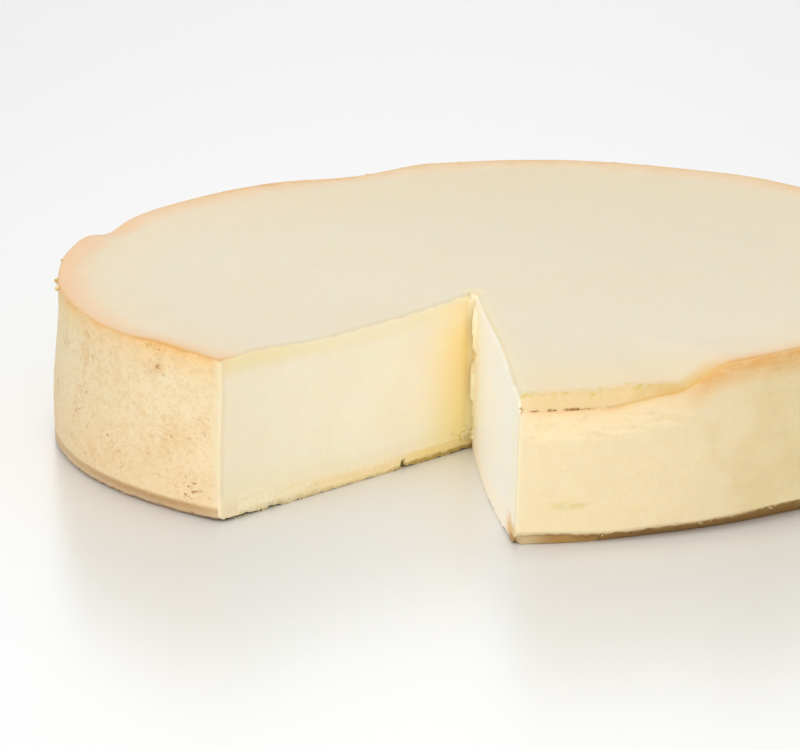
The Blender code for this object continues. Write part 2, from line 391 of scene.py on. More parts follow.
class Surface:
    """The points and faces of one closed surface."""

    def __init__(self):
        self.points = np.zeros((0, 3))
        self.faces = []

    def add(self, points):
        """Add points, and say which numbers they got."""
        start = len(self.points)
        self.points = np.concatenate([self.points, points])
        return np.arange(start, start + len(points))

    def strip(self, lower, upper):
        """Faces between two closed rings. Where the rings share a point, they narrow."""
        for corners in zip(lower, np.roll(lower, -1), np.roll(upper, -1), upper):
            corners = list(dict.fromkeys(int(corner) for corner in corners))
            if len(corners) > 2:
                self.faces.append(corners)

    def cap(self, ring, scattered, height_at):
        """Fill a ring with triangles over scattered points, each of which needs some room."""
        ring = list(dict.fromkeys(int(corner) for corner in ring))
        edge = [Vector(point[:2]) for point in self.points[ring]]
        tree = kdtree.KDTree(len(edge))
        for number, point in enumerate(edge):
            tree.insert(point.to_3d(), number)
        tree.balance()
        inner = [Vector((x, y)) for x, y, room in scattered if tree.find((x, y, 0.0))[2] > room]
        loop = [list(range(len(edge)))]
        points, _, faces, origins, _, _ = geometry.delaunay_2d_cdt(edge + inner, [], loop, 1, 1e-7)
        number_of = {}
        fresh = []
        for place, origin in enumerate(origins):
            on_ring = [number for number in origin if number < len(edge)]
            if on_ring:
                number_of[place] = ring[on_ring[0]]
            else:
                number_of[place] = len(self.points) + len(fresh)
                fresh.append(points[place])
        x, y = np.array(fresh).T
        self.add(np.column_stack([x, y, height_at(x, y)]))
        self.faces += [[number_of[corner] for corner in face] for face in faces]

    def drop_unused(self):
        """Leave out the points that no face uses."""
        used = sorted({corner for face in self.faces for corner in face})
        number_of = {old: new for new, old in enumerate(used)}
        self.points = self.points[used]
        self.faces = [[number_of[corner] for corner in face] for face in self.faces]

    def soften(self, weights, rounds):
        """Round the edges: each point moves towards its neighbours by its weight."""
        sides = {tuple(sorted((f[i - 1], f[i]))) for f in self.faces for i in range(len(f))}
        ends = np.array(sorted(sides))
        count = np.bincount(ends.ravel(), minlength=len(self.points))[:, None]
        for _ in range(rounds):
            total = np.zeros_like(self.points)
            np.add.at(total, ends[:, 0], self.points[ends[:, 1]])
            np.add.at(total, ends[:, 1], self.points[ends[:, 0]])
            self.points += weights[:, None] * (total / count - self.points)


def cap_points(radius, insets, wide_step, wide_inset):
    """Points for a cap, as (x, y, room): rows beside the rim and the cuts, and a grid inside."""
    points = []
    for inset, step in insets:
        turns = np.arange(0.0, 2.0 * pi, step / radius)
        rows = [((radius - inset) * np.sin(turns), (inset - radius) * np.cos(turns))]
        along = np.arange(-inset, CUT_LENGTH, step)
        for cut, bearing, side in ((LEFT, LEFT_CUT, -inset), (RIGHT, RIGHT_CUT, inset)):
            x, y = cut_point(cut, along, RIM_HEIGHT)
            rows.append((x + side * cos(bearing), y + side * sin(bearing)))
        points += [(x, y, 0.8 * inset) for row in rows for x, y in zip(*row)]
    reach = radius - wide_inset
    for row, y in enumerate(np.arange(-reach, reach, wide_step * sqrt(3.0) / 2.0)):
        for x in np.arange((row % 2) * wide_step / 2.0 - reach, reach, wide_step):
            if np.hypot(x, y) < reach:
                points.append((x, y, wide_inset))
    return points


def piece_of(name, surface, radius_at, corner_rounds):
    """Make a surface an object whose points carry the distances that its finish goes by."""
    surface.drop_unused()
    x, y, z = surface.points.T
    bearing = bearing_of(x, y)
    left, right = cut_gaps(x, y, z)
    inward = np.maximum(radius_at(bearing, z) - np.hypot(x, y), 0.0)
    facts = {
        "inward": inward,
        "depth": top_height(x, y) - z,
        "left_gap": left,
        "right_gap": right,
        "from_tip": tip_distance(x, y, z),
        "on_left": (left < right).astype(float),
        "slumped": slump(bearing),
        "foot": foot_height(bearing),
        "layer": z / base_top(np.hypot(x, y)),
    }
    from_corner = np.maximum(inward, np.minimum(left, right))
    surface.soften(CORNER_PULL * (1.0 - ease(*CORNER_SOFT, from_corner)), corner_rounds)
    mesh = bpy.data.meshes.new(name)
    mesh.from_pydata(surface.points.tolist(), [], surface.faces)
    for fact, values in facts.items():
        mesh.attributes.new(fact, "FLOAT", "POINT").data.foreach_set("value", values.astype("f"))
    solid = bmesh.new()
    solid.from_mesh(mesh)
    bmesh.ops.recalc_face_normals(solid, faces=solid.faces[:])
    solid.to_mesh(mesh)
    solid.free()
    mesh.shade_smooth()
    mesh.set_sharp_from_angle(angle=radians(60))
    piece = bpy.data.objects.new(name, mesh)
    bpy.context.collection.objects.link(piece)
    return piece


def cheese_body():
    """The cheese: its browned side, top and cut faces, and the pocket for the sponge."""
    fine, coarse = FINE / RIM_RADIUS, COARSE / RIM_RADIUS
    bearings = ((radians(12), fine), (CHEESE_BACK[0], coarse), (CHEESE_BACK[1], fine))
    along = ((0.0, FINE / 2.0), (3.0 * MM, FINE))
    outline = Outline(side_radius, bearings, along)
    count = len(outline.kind)
    pocket = BASE_RADIUS - PRESSED

    x, y, _ = outline.at(np.full(count, FOOT_HEIGHT)).T
    bearing, radius = bearing_of(x, y), np.hypot(x, y)
    over_sponge = (outline.kind != OUTER) & (radius < pocket)
    inset = side_radius(bearing, foot_height(bearing)) - radius
    come_down = np.clip(inset / lip_inset(bearing), 0.0, 1.0) * (outline.kind != OUTER)
    legs = foot_height(bearing) - (foot_height(bearing) - lip_height(bearing)) * come_down
    low = np.where(over_sponge, base_top(radius) - PRESSED, legs)
    x, y, _ = outline.at(np.full(count, TOP_HEIGHT)).T
    high = rounded_top(x, y)

    surface = Surface()
    rises = steps(*CHEESE_ROWS) / RIM_HEIGHT
    rings = [surface.add(row) for row in outline.wall(low, high, rises)]
    for lower, upper in zip(rings, rings[1:]):
        surface.strip(lower, upper)

    # Underneath, the foot turns in to its lip and to the mouth of the pocket, whose wall goes up
    lip, mouth, roof = (rings[0].copy() for _ in range(3))
    outer = np.flatnonzero(outline.kind == OUTER)
    foot = surface.points[rings[0][outer]]
    turned = bearing_of(foot[:, 0], foot[:, 1])
    for ring, radius, height in (
        (lip, np.hypot(foot[:, 0], foot[:, 1]) - lip_inset(turned), lip_height(turned)),
        (mouth, pocket, lip_height(turned)),
        (roof, pocket, np.full(len(turned), BASE_THICK - PRESSED)),
    ):
        x, y = radius * np.sin(turned), -radius * np.cos(turned)
        ring[outer] = surface.add(np.column_stack([x, y, height]))
    for cut, end, nearest in ((RIGHT, outer[0], -1), (LEFT, outer[-1], 0)):
        legs = np.flatnonzero((outline.kind == cut) & ~over_sponge)
        first_down = legs[come_down[legs] == 1.0][nearest]
        last_over = rings[0][np.flatnonzero((outline.kind == cut) & over_sponge)[nearest]]
        surface.points[mouth[end], :2] = surface.points[last_over, :2]
        lip[end] = rings[0][first_down]
        lip[legs[come_down[legs] < 1.0]] = rings[0][first_down]
        mouth[legs] = mouth[end]
        roof[legs] = last_over
        roof[end] = last_over
    surface.strip(rings[0], lip)
    surface.strip(lip, mouth)
    surface.strip(mouth, roof)

    insets = ((8.0 * MM, 4.0 * MM),)
    roof_points = cap_points(pocket, insets, wide_step=9.0 * MM, wide_inset=16.0 * MM)
    surface.cap(roof, roof_points, lambda x, y: base_top(np.hypot(x, y)) - PRESSED)
    insets = [(inset * MM, FINE + 0.2 * inset * MM) for inset in TOP_INSETS]
    top_points = cap_points(RIM_RADIUS, insets, wide_step=3.2 * MM, wide_inset=10.5 * MM)
    surface.cap(rings[-1], top_points, rounded_top)
    return piece_of("cheese_body", surface, side_radius, CORNER_ROUNDS)


def sponge_layer():
    """The thin sponge under the cheese, with its lifted edge and its cut faces."""

    def radius_at(bearing, height):
        return np.full(np.shape(height), BASE_RADIUS)

    fine, coarse = FINE / BASE_RADIUS, 2.0 * COARSE / BASE_RADIUS
    bearings = ((SPONGE_BACK[0], coarse), (SPONGE_BACK[1], fine))
    outline = Outline(radius_at, bearings, ((0.0, 0.45 * MM),))
    radius = np.hypot(*outline.at(np.full(len(outline.kind), BASE_THIN)).T[:2])
    surface = Surface()
    rises = np.linspace(0.0, 1.0, SPONGE_ROWS)
    rows = outline.wall(base_under(radius), base_top(radius), rises)
    rings = [surface.add(row) for row in rows]
    for lower, upper in zip(rings, rings[1:]):
        surface.strip(lower, upper)
    insets = [(inset * MM, step * MM) for inset, step in SPONGE_INSETS]
    inner = cap_points(BASE_RADIUS, insets, wide_step=7.0 * MM, wide_inset=12.0 * MM)
    surface.cap(rings[0], inner, lambda x, y: base_under(np.hypot(x, y)))
    surface.cap(rings[-1], inner, lambda x, y: base_top(np.hypot(x, y)))
    return piece_of("sponge_layer", surface, radius_at, 0)


# ---------------------------------------------------------------- node helpers


class Wiring:
    """Puts nodes in a tree. An input that is given a socket is linked, any other is set."""

    def __init__(self, tree):
        self.tree = tree

    def put(self, kind, inputs=(), out=0, **settings):
        node = self.tree.nodes.new(kind)
        for name, value in settings.items():
            setattr(node, name, value)
        for key, value in dict(inputs).items():
            if isinstance(value, bpy.types.NodeSocket):
                self.tree.links.new(value, node.inputs[key])
            else:
                node.inputs[key].default_value = value
        return node.outputs[out]

    def math(self, operation, *values):
        return self.put("ShaderNodeMath", enumerate(values), operation=operation)

    def add(self, *values):
        total = values[0]
        for value in values[1:]:
            total = self.math("ADD", total, value)
        return total

    def times(self, *values):
        total = values[0]
        for value in values[1:]:
            total = self.math("MULTIPLY", total, value)
        return total

    def ease(self, value, low, high, start=0.0, end=1.0):
        """From start to end as a value goes from low to high, smoothly."""
        inputs = enumerate((value, low, high, start, end))
        return self.put("ShaderNodeMapRange", inputs, interpolation_type="SMOOTHSTEP")

    def between(self, value, low, high, fade):
        """1 where a value is between low and high, fading out on both sides."""
        rise = self.ease(value, low - fade, low + fade)
        return self.times(rise, self.ease(value, high - fade, high + fade, 1.0, 0.0))

    def noise(self, where, size, shift=0.0, detail=2.0, roughness=0.5):
        """Cloudy noise about 0.5, with patches of a size."""
        inputs = {"Vector": where, "W": shift, "Detail": detail, "Roughness": roughness}
        inputs["Scale"] = self.math("DIVIDE", 1.0, size)
        return self.put("ShaderNodeTexNoise", inputs, noise_dimensions="4D")

    def cells(self, where, size):
        """Distance from the nearest of scattered points, in cell sizes."""
        inputs = {"Vector": where, "Scale": self.math("DIVIDE", 1.0, size)}
        return self.put("ShaderNodeTexVoronoi", inputs, out="Distance")


# ---------------------------------------------------------------- relief


class Relief(Wiring):
    """A Geometry Nodes tree with named inputs."""

    def __init__(self, name, sizes, materials, seed="Float"):
        super().__init__(bpy.data.node_groups.new(name, "GeometryNodeTree"))
        kinds = {"Geometry": "Geometry", **dict.fromkeys(sizes, "Float"), "Seed": seed}
        kinds.update(dict.fromkeys(materials, "Material"))
        sockets = self.tree.interface
        sockets.new_socket("Geometry", in_out="OUTPUT", socket_type="NodeSocketGeometry")
        for label, kind in kinds.items():
            sockets.new_socket(label, in_out="INPUT", socket_type="NodeSocket" + kind)
        self.given = self.tree.nodes.new("NodeGroupInput").outputs
        self.where = self.put("GeometryNodeInputPosition")

    def fact(self, name):
        return self.put(
            "GeometryNodeInputNamedAttribute", {"Name": name}, out="Attribute", data_type="FLOAT"
        )

    def height(self):
        return self.put("ShaderNodeSeparateXYZ", {0: self.where}, out="Z")

    def end(self, geometry, outwards, upwards, finishes):
        """Move the points out along the normal and up, and give each part its material."""
        normal = self.put("GeometryNodeInputNormal")
        out = {0: normal, "Scale": outwards}
        out = self.put("ShaderNodeVectorMath", out, operation="SCALE")
        up = self.put("ShaderNodeCombineXYZ", {"Z": upwards})
        offset = self.put("ShaderNodeVectorMath", {0: out, 1: up}, operation="ADD")
        body = self.put("GeometryNodeSetPosition", {"Geometry": geometry, "Offset": offset})
        body = self.put("GeometryNodeRealizeInstances", {"Geometry": body})
        for label, selection in finishes:
            inputs = {"Geometry": body, "Selection": selection, "Material": self.given[label]}
            body = self.put("GeometryNodeSetMaterial", inputs)
        last = self.tree.nodes.new("NodeGroupOutput")
        self.tree.links.new(body, last.inputs[0])
        return self.tree


def grown(piece, tree, **values):
    """Run a tree over a piece with these inputs, and keep the result as its plain mesh."""
    modifier = piece.modifiers.new(tree.name, "NODES")
    modifier.node_group = tree
    for item in tree.interface.items_tree:
        label = item.name.lower().replace(" ", "_")
        if item.in_out == "INPUT" and label in values:
            modifier[item.identifier] = values[label]
    evaluated = piece.evaluated_get(bpy.context.evaluated_depsgraph_get())
    mesh = bpy.data.meshes.new_from_object(evaluated)
    piece.modifiers.remove(modifier)
    piece.data = mesh
    mesh.name = piece.name
    return piece


def cheese_relief():
    """The unevenness of the cheese: dents, grain, a ragged foot and a crumbled corner."""
    sizes = ("Dent Depth", "Dent Size", "Grain Depth", "Grain Size", "Crumble Depth")
    sizes += ("Crumble Size", "Ragged", "Cut Edge")
    relief = Relief("cheese_relief", sizes, ("Skin", "Cut"))
    given, where, up = relief.given, relief.where, relief.height()
    left_gap, right_gap = relief.fact("left_gap"), relief.fact("right_gap")
    gap = relief.math("MINIMUM", left_gap, right_gap)
    skin = relief.ease(gap, 0.2 * MM, 1.5 * MM)
    side = relief.ease(relief.fact("depth"), 1.0 * MM, 4.0 * MM)

    dents = relief.noise(where, given["Dent Size"], given["Seed"])
    dents = relief.times(relief.add(dents, -0.5), given["Dent Depth"])
    dents = relief.times(dents, relief.ease(skin, 0.0, 1.0, 0.35, 1.0))
    grain = relief.noise(where, given["Grain Size"], given["Seed"], detail=3.0)
    rough = relief.add(0.25, relief.times(skin, side, 0.75))
    grain = relief.times(relief.add(grain, -0.5), given["Grain Depth"], rough)

    # Bits that stand out along the inner corner, on the right cut, less so near the top
    corner = relief.between(relief.fact("from_tip"), 1.2 * MM, 5.0 * MM, 0.8 * MM)
    corner = relief.times(corner, relief.ease(right_gap, 0.6 * MM, 0.1 * MM))
    corner = relief.times(corner, relief.ease(left_gap, 0.3 * MM, 1.2 * MM))
    corner = relief.times(corner, relief.ease(relief.fact("depth"), 1.0 * MM, 7.0 * MM, 0.1, 1.0))
    bits = relief.noise(where, given["Crumble Size"], given["Seed"], detail=3.0)
    bits = relief.times(relief.ease(bits, 0.42, 0.58), corner, given["Crumble Depth"])

    # The cut legs outside the sponge are crumbly
    leg = relief.ease(relief.fact("inward"), 7.5 * MM, 6.5 * MM)
    leg = relief.times(leg, relief.ease(up, 7.5 * MM, 5.0 * MM), relief.ease(gap, 0.5 * MM, 0.1 * MM))
    crumb = relief.add(relief.noise(where, given["Crumble Size"], given["Seed"], detail=5.0), -0.5)
    crumb = relief.times(crumb, leg, given["Crumble Depth"], 0.5)

    above = relief.math("SUBTRACT", up, relief.fact("foot"))
    low = relief.times(relief.ease(above, 1.6 * MM, 0.0), relief.ease(above, -0.6 * MM, -0.1 * MM))
    ragged = relief.ease(relief.noise(where, 2.2 * MM, given["Seed"], detail=3.0), 0.42, 0.66)
    ragged = relief.times(ragged, low, given["Ragged"])
    on_cut = {0: gap, 1: given["Cut Edge"]}
    on_cut = relief.put("FunctionNodeCompare", on_cut, data_type="FLOAT", operation="LESS_THAN")
    finishes = (("Skin", True), ("Cut", on_cut))
    return relief.end(given["Geometry"], relief.add(dents, grain, bits, crumb), ragged, finishes)


def sponge_relief():
    """The open crumb of the sponge where it is cut, and its ragged lower edge."""
    relief = Relief("sponge_relief", ("Crumb Depth", "Crumb Size", "Ragged"), ("Sponge",))
    given, where = relief.given, relief.where
    size, layer = given["Crumb Size"], relief.fact("layer")
    gap = relief.math("MINIMUM", relief.fact("left_gap"), relief.fact("right_gap"))
    face = relief.ease(gap, 2.5 * MM, 0.3 * MM)
    crumb = relief.noise(where, size, given["Seed"], detail=3.0)
    crumb = relief.times(relief.add(crumb, -0.35), given["Crumb Depth"])
    holes = relief.ease(relief.cells(where, relief.times(size, 1.3)), 0.40, 0.12)
    holes = relief.times(holes, given["Crumb Depth"], -0.6)
    pit = relief.between(relief.fact("from_tip"), PIT_FROM, PIT_TO, PIT_FADE)
    pit = relief.times(pit, relief.fact("on_left"), relief.ease(layer, 0.7, 0.3), -PIT_DEPTH)
    flush = relief.ease(relief.fact("inward"), 0.3 * MM, 2.5 * MM)
    flush = relief.times(flush, relief.ease(layer, 1.0, 0.6))
    crumb = relief.times(relief.add(crumb, holes, pit), flush)
    height = relief.times(relief.add(crumb, -SEAM_STEP), face)
    ragged = relief.noise(where, relief.times(size, 2.2), given["Seed"])
    ragged = relief.times(relief.ease(ragged, 0.4, 0.7), given["Ragged"], face)
    ragged = relief.times(ragged, relief.ease(relief.height(), 2.0 * MM, 0.5 * MM))
    return relief.end(given["Geometry"], height, ragged, (("Sponge", True),))


def crumb_scatter():
    """A crumb on each point of a piece, as large as the point says, no two alike."""
    relief = Relief("crumb_scatter", ("Knobbliness", "Flatness"), ("Finish",), seed="Int")
    given, size = relief.given, relief.fact("size")
    crumb = relief.put("GeometryNodeMeshIcoSphere", {"Radius": 0.5, "Subdivisions": 2})
    thin = relief.math("SUBTRACT", 1.0, given["Flatness"])
    scale = relief.put("ShaderNodeCombineXYZ", {"X": 1.0, "Y": 0.8, "Z": thin})
    scale = relief.put("ShaderNodeVectorMath", {0: scale, "Scale": size}, operation="SCALE")
    turns = {"Min": (-0.4, -0.4, 0.0), "Max": (0.4, 0.4, 6.28), "Seed": given["Seed"]}
    turn = relief.put("FunctionNodeRandomValue", turns, data_type="FLOAT_VECTOR")
    inputs = {"Points": given["Geometry"], "Instance": crumb, "Rotation": turn, "Scale": scale}
    crumbs = relief.put("GeometryNodeInstanceOnPoints", inputs)
    crumbs = relief.put("GeometryNodeRealizeInstances", {"Geometry": crumbs})
    knobs = relief.noise(relief.where, relief.times(size, 0.45), detail=1.0)
    knobs = relief.times(relief.add(knobs, -0.5), size, given["Knobbliness"])
    return relief.end(crumbs, knobs, 0.0, (("Finish", True),))


# ---------------------------------------------------------------- finishes


def tint(red, green, blue):
    """A colour as it looks, in steps of 255, made linear."""
    linear = []
    for step in (red, green, blue):
        share = step / 255.0
        linear.append(share / 12.92 if share < 0.04045 else ((share + 0.055) / 1.055) ** 2.4)
    return (*linear, 1.0)


class Finish(Wiring):
    """A material in the making. What it reads comes in millimetres and degrees."""

    def __init__(self, name, colour=None):
        self.material = bpy.data.materials.new(name)
        self.material.use_nodes = True
        super().__init__(self.material.node_tree)
        self.tree.nodes.clear()
        self.where = self.put("ShaderNodeTexCoord", out="Object")
        self.colour = colour

    def share(self, name):
        """A fact of the piece that has no unit."""
        return self.put("ShaderNodeAttribute", attribute_name=name, out="Fac")

    def lengths(self, *names):
        """Facts of the piece, in millimetres."""
        return [self.times(self.share(name), 1.0 / MM) for name in names]

    def bearing(self):
        """The bearing of each place, in degrees."""
        x, y = (self.put("ShaderNodeSeparateXYZ", {0: self.where}, out=axis) for axis in "XY")
        return self.times(self.math("ARCTAN2", x, self.times(y, -1.0)), 180.0 / pi)

    def height(self):
        """The height of each place, in millimetres."""
        z = self.put("ShaderNodeSeparateXYZ", {0: self.where}, out="Z")
        return self.times(z, 1.0 / MM)

    def stretched(self, *scale, turn=(0.0, 0.0, 0.0)):
        """Places for noise that is drawn out along an axis, where its scale is small."""
        inputs = {"Vector": self.where, "Rotation": turn, "Scale": scale}
        return self.put("ShaderNodeMapping", inputs)

    def over(self, colour, share, new):
        """A colour with another laid over it by a share."""
        return self.put("ShaderNodeMix", {0: share, 6: colour, 7: new}, out=2, data_type="RGBA")

    def lay(self, new, *shares):
        """Lay a colour over the finish so far, by the product of some shares."""
        self.colour = self.over(self.colour, self.times(*shares), new)

    def bands(self, value, low, high, stops):
        """A colour that goes from stop to stop, (place, colour) pairs, as a value rises."""
        share = self.put("ShaderNodeMapRange", enumerate((value, low, high, 0.0, 1.0)))
        colour = self.put("ShaderNodeValToRGB", {0: share})
        marks = colour.node.color_ramp.elements
        for number, (place, shade) in enumerate(stops):
            mark = marks[number] if number < 2 else marks.new(1.0)
            mark.position = (place - low) / (high - low)
            mark.color = shade
        return colour

    def bump(self, *heights):
        """Small relief: heights in millimetres, added up."""
        inputs = {"Strength": 1.0, "Distance": MM, "Height": self.add(*heights)}
        return self.put("ShaderNodeBump", inputs)

    def done(self, roughness, normal, glow, glow_depth, gloss):
        """Join it all in one shader: glow is how much light goes in, and how deep."""
        inputs = {
            "Base Color": self.colour,
            "Roughness": roughness,
            "Normal": normal,
            "Subsurface Weight": glow,
            "Subsurface Radius": (1.0, 0.6, 0.3),
            "Subsurface Scale": glow_depth,
            "Specular IOR Level": gloss,
        }
        shader = self.put("ShaderNodeBsdfPrincipled", inputs)
        out = self.tree.nodes.new("ShaderNodeOutputMaterial")
        self.tree.links.new(shader, out.inputs["Surface"])
        return self.material


# The skin's colour from the middle of the top, over the browned rim at 0 and down the side,
# by the distance from the rim in millimetres
SKIN_BANDS = (
    (-30.0, tint(231, 218, 190)),
    (-9.0, tint(234, 215, 182)),
    (-5.0, tint(236, 208, 169)),
    (-2.4, tint(234, 198, 151)),
    (-1.0, tint(231, 187, 128)),
    (0.0, tint(218, 164, 92)),
    (0.8, tint(237, 188, 118)),
    (1.6, tint(243, 202, 139)),
    (3.0, tint(243, 212, 159)),
    (9.0, tint(240, 221, 182)),
)

# Where burst bubbles crowd on the side: (bearing, height, half width, half height, share), in
# degrees and millimetres
BUBBLE_CLUSTERS = (
    (-50, 39.5, 8.0, 3.0, 0.75),
    (-69, 19.0, 7.0, 8.0, 0.6),
    (-57, 12.0, 7.0, 11.0, 0.6),
    (-47, 20.0, 6.0, 9.0, 0.5),
    (-43.5, 8.0, 10.0, 8.0, 0.8),
)
SIDE_DEGREE = RIM_RADIUS / MM * pi / 180.0  # a degree round the side, in millimetres


def baked_skin():
    """The baked outside: ivory top, cream side, browned rim and foot, burst bubbles."""
    skin = Finish("baked_skin")
    where = skin.where
    inward, depth, from_tip = skin.lengths("inward", "depth", "from_tip")
    left_gap, right_gap, foot = skin.lengths("left_gap", "right_gap", "foot")
    slumped = skin.share("slumped")
    bearing, height = skin.bearing(), skin.height()
    left = skin.between(bearing, -128, -36, 10)
    right = skin.between(bearing, 22, 140, 7)
    behind = skin.ease(skin.math("ABSOLUTE", bearing), 110, 150)
    wide = skin.stretched(0.6, 0.6, 1.0)
    clouds = skin.noise(where, 38.0 * MM)
    mottle = skin.noise(where, 5.0 * MM, shift=3.0, detail=3.0, roughness=0.65)
    grain = skin.noise(where, 1.3 * MM, shift=5.0, roughness=0.6)
    wrinkles = skin.noise(skin.stretched(0.25, 0.25, 1.0), 1.6 * MM, shift=7.0)

    # The bands from the top over the rim, which wander further in, patches of the top, and painted
    # shade that darkens the top towards the back right
    across = skin.math("SUBTRACT", depth, inward)
    side = skin.ease(across, -0.4, 1.2)
    top = skin.ease(side, 1.0, 0.0)
    wander = skin.times(skin.add(mottle, -0.5), skin.ease(across, -0.5, -6.0, 1.5, 7.0))
    shifted = skin.add(skin.times(across, skin.add(1.0, skin.times(behind, top, -0.5))), wander)
    skin.colour = skin.bands(shifted, -30.0, 20.0, SKIN_BANDS)
    # Painted shade: the top is laid darker towards the back right, away from the lights
    shade_direction = {0: where, 1: (0.6, 0.8, 0.0)}
    far = skin.put("ShaderNodeVectorMath", shade_direction, out="Value", operation="DOT_PRODUCT")
    far = skin.times(skin.ease(far, -0.3 * BASE_RADIUS, BASE_RADIUS), skin.ease(inward, 3.0, 16.0))
    skin.lay(tint(221, 208, 176), far, top, 0.7)
    skin.lay(tint(229, 214, 180), skin.ease(clouds, 0.40, 0.65, 0.0, 0.3))
    rosy = skin.ease(skin.add(inward, skin.times(mottle, -8.0)), 9.0, -3.0)
    skin.lay(tint(238, 196, 150), skin.between(bearing, -130, -70, 22), rosy, top, 0.85)
    warm = skin.times(skin.ease(slumped, 0.2, 0.9), skin.ease(inward, 44.0, 8.0, 0.0, 0.8))
    skin.lay(tint(238, 215, 172), warm, top)
    pale = skin.times(skin.ease(right_gap, 7.0, 1.0), skin.ease(from_tip, 3.0, 16.0))
    skin.lay(tint(233, 220, 186), pale, top)
    # Painted warm light: the skin is laid yellower right at the tip, as if lit through the cut faces
    skin.lay(tint(240, 224, 174), skin.ease(from_tip, 6.0, 1.5), 0.5)

    # The side: tan patches on the left, and yellower round to the right, where painted shade also
    # darkens it as it turns away from the lights
    skin.lay(tint(240, 208, 156), skin.ease(clouds, 0.40, 0.68), left, side, 0.30)
    patches = skin.times(skin.ease(mottle, 0.40, 0.66), skin.add(0.20, skin.times(left, 0.25)))
    skin.lay(tint(235, 209, 162), patches, side)
    blotches = skin.ease(skin.noise(wide, 2.0 * MM, shift=13.0, roughness=0.6), 0.46, 0.62)
    skin.lay(tint(226, 196, 140), blotches, skin.ease(clouds, 0.35, 0.6, 0.1, 0.45), left, side)
    skin.lay(tint(240, 212, 166), skin.ease(height, 30.0, 6.0), left, 0.5)
    # Yellower and darker round to the right: the darkening is painted shade
    skin.lay(tint(234, 213, 158), skin.ease(bearing, 20, 52), right, side, 0.75)
    murk = skin.ease(skin.noise(where, 14.0 * MM, shift=19.0), 0.46, 0.66)
    skin.lay(tint(222, 198, 138), murk, right, side, 0.35)
    browned = skin.times(skin.ease(shifted, 9.0, 0.5), skin.ease(mottle, 0.3, 0.6, 0.7, 1.0))
    skin.lay(tint(231, 178, 106), browned, right, side)
    streaks = skin.times(skin.ease(wrinkles, 0.48, 0.66), skin.ease(left, 1.0, 0.0, 0.0, 0.35))
    skin.lay(tint(240, 216, 164), streaks, side)
    scaly = skin.times(skin.ease(slumped, 0.3, 0.8), skin.between(across, 1.0, 9.0, 1.5))
    skin.lay(tint(250, 232, 192), scaly, 0.6)
    ticks = skin.times(skin.ease(wrinkles, 0.46, 0.62), skin.ease(grain, 0.40, 0.60, 0.2, 0.6))
    skin.lay(tint(235, 208, 160), scaly, ticks)
    smudge = skin.times(skin.between(bearing, 5.0, 8.5, 1.2), skin.between(height, 10.5, 11.5, 1.2))
    skin.lay(tint(206, 196, 100), smudge, skin.ease(wrinkles, 0.4, 0.6), 0.9)
    skin.lay(tint(236, 221, 186), skin.ease(right_gap, 4.0, 0.5), side, 0.7)
    corner = skin.ease(left_gap, 4.0, 1.0)
    skin.lay(tint(234, 217, 182), corner, side, 0.7)

    # The foot: browned underneath, and darkened there with painted shade under its curl; on the left a
    # brown line along it, painted contact shadow as much as browning, paler below
    uneven = skin.times(mottle, 0.8)
    above_foot = skin.math("SUBTRACT", height, skin.add(foot, uneven))
    beside_cut = skin.ease(skin.math("ABSOLUTE", bearing), 0.5, 5.0, 0.45, 1.0)
    # Browned foot, laid dark as painted shade where it turns under
    skin.lay(tint(164, 120, 50), skin.ease(above_foot, 1.0, -0.3, 0.0, 0.9), beside_cut)
    up = skin.add(height, uneven)
    # Painted contact shadow on the left: brown at the line, a paler shadow tone below it
    painted_foot_shadow = skin.over(tint(182, 146, 100), skin.ease(up, 3.2, 2.0, 0.0, 0.6), tint(208, 182, 152))
    line = skin.times(skin.ease(up, 5.0, 3.6), skin.ease(bearing, -80, -52, 0.55, 0.95))
    skin.lay(painted_foot_shadow, line, left, side)

    # A flake on the far rim, freckles, and small burst bubbles in clusters
    flake = skin.times(skin.between(bearing, -148, -145, 0.8), skin.ease(inward, 6.0, 1.0))
    skin.lay(tint(222, 172, 108), flake, top)
    clusters = skin.noise(where, 11.0 * MM, detail=1.0)
    clusters = skin.times(skin.ease(clusters, 0.52, 0.70), left, 0.6)
    on_side = skin.put("ShaderNodeCombineXYZ", {"X": bearing, "Y": height})
    for middle, up, half_width, half_height, share in BUBBLE_CLUSTERS:
        scale = (SIDE_DEGREE / half_width, 1.0 / half_height, 0.0)
        centre = (middle * scale[0], up * scale[1], 0.0)
        sized = skin.put("ShaderNodeVectorMath", {0: on_side, 1: scale}, operation="MULTIPLY")
        away = {0: sized, 1: centre}
        away = skin.put("ShaderNodeVectorMath", away, out="Value", operation="DISTANCE")
        clusters = skin.math("MAXIMUM", clusters, skin.ease(away, 1.0, 0.1, 0.0, share))
    clusters = skin.times(clusters, side)
    plain = skin.times(side, skin.ease(corner, 1.0, 0.3))
    scorch = skin.times(skin.ease(mottle, 0.35, 0.6), skin.ease(height, 20.0, 36.0, 0.35, 0.8))
    skin.lay(tint(228, 184, 128), clusters, scorch)
    freckles = skin.ease(skin.noise(wide, 0.9 * MM, shift=21.0, roughness=0.6), 0.46, 0.66)
    many = skin.add(0.05, skin.times(left, 0.17), skin.times(clusters, 0.28))
    skin.lay(tint(216, 170, 110), freckles, plain, many)
    pits = skin.noise(wide, 1.2 * MM, shift=15.0, roughness=0.6)
    pits = skin.ease(skin.add(pits, skin.times(clusters, 0.09)), 0.63, 0.72)
    pits = skin.times(pits, plain, skin.add(skin.times(left, 0.3), skin.times(clusters, 0.7)))
    skin.lay(tint(160, 98, 52), pits, 0.75)

